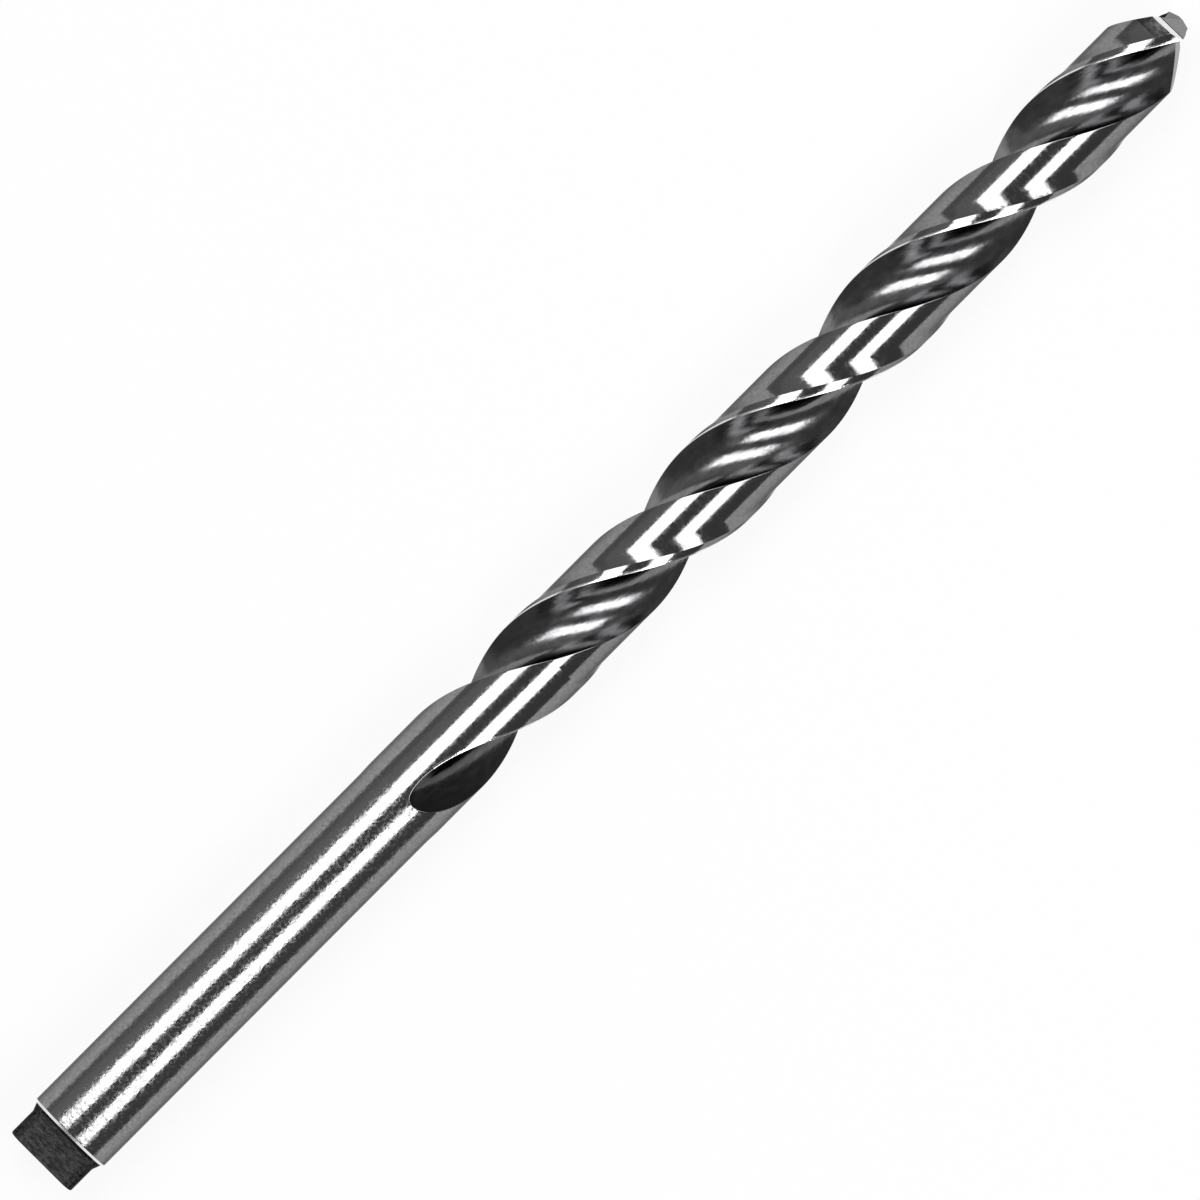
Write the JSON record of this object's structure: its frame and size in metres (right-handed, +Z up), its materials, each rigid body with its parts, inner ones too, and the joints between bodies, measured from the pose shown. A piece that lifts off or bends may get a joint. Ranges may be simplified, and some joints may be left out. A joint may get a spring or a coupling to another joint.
{
  "type": "twist drill bit",
  "caption": "Long right-hand twist drill with helical flutes, a split point and a round shank that ends in a flat-sided tang.",
  "frame": {"origin": "under the middle of the drill's length, on the plane that the drill lies on", "axes": "+X along the drill's axis towards the point, +Z up, away from the plane that the drill lies on"},
  "size_m": [0.184, 0.011, 0.011],
  "materials": {
    "bright_steel": "bright ground steel"
  },
  "bodies": {
    "root": {"twist_drill": "bright_steel"}
  },
  "joints": []
}
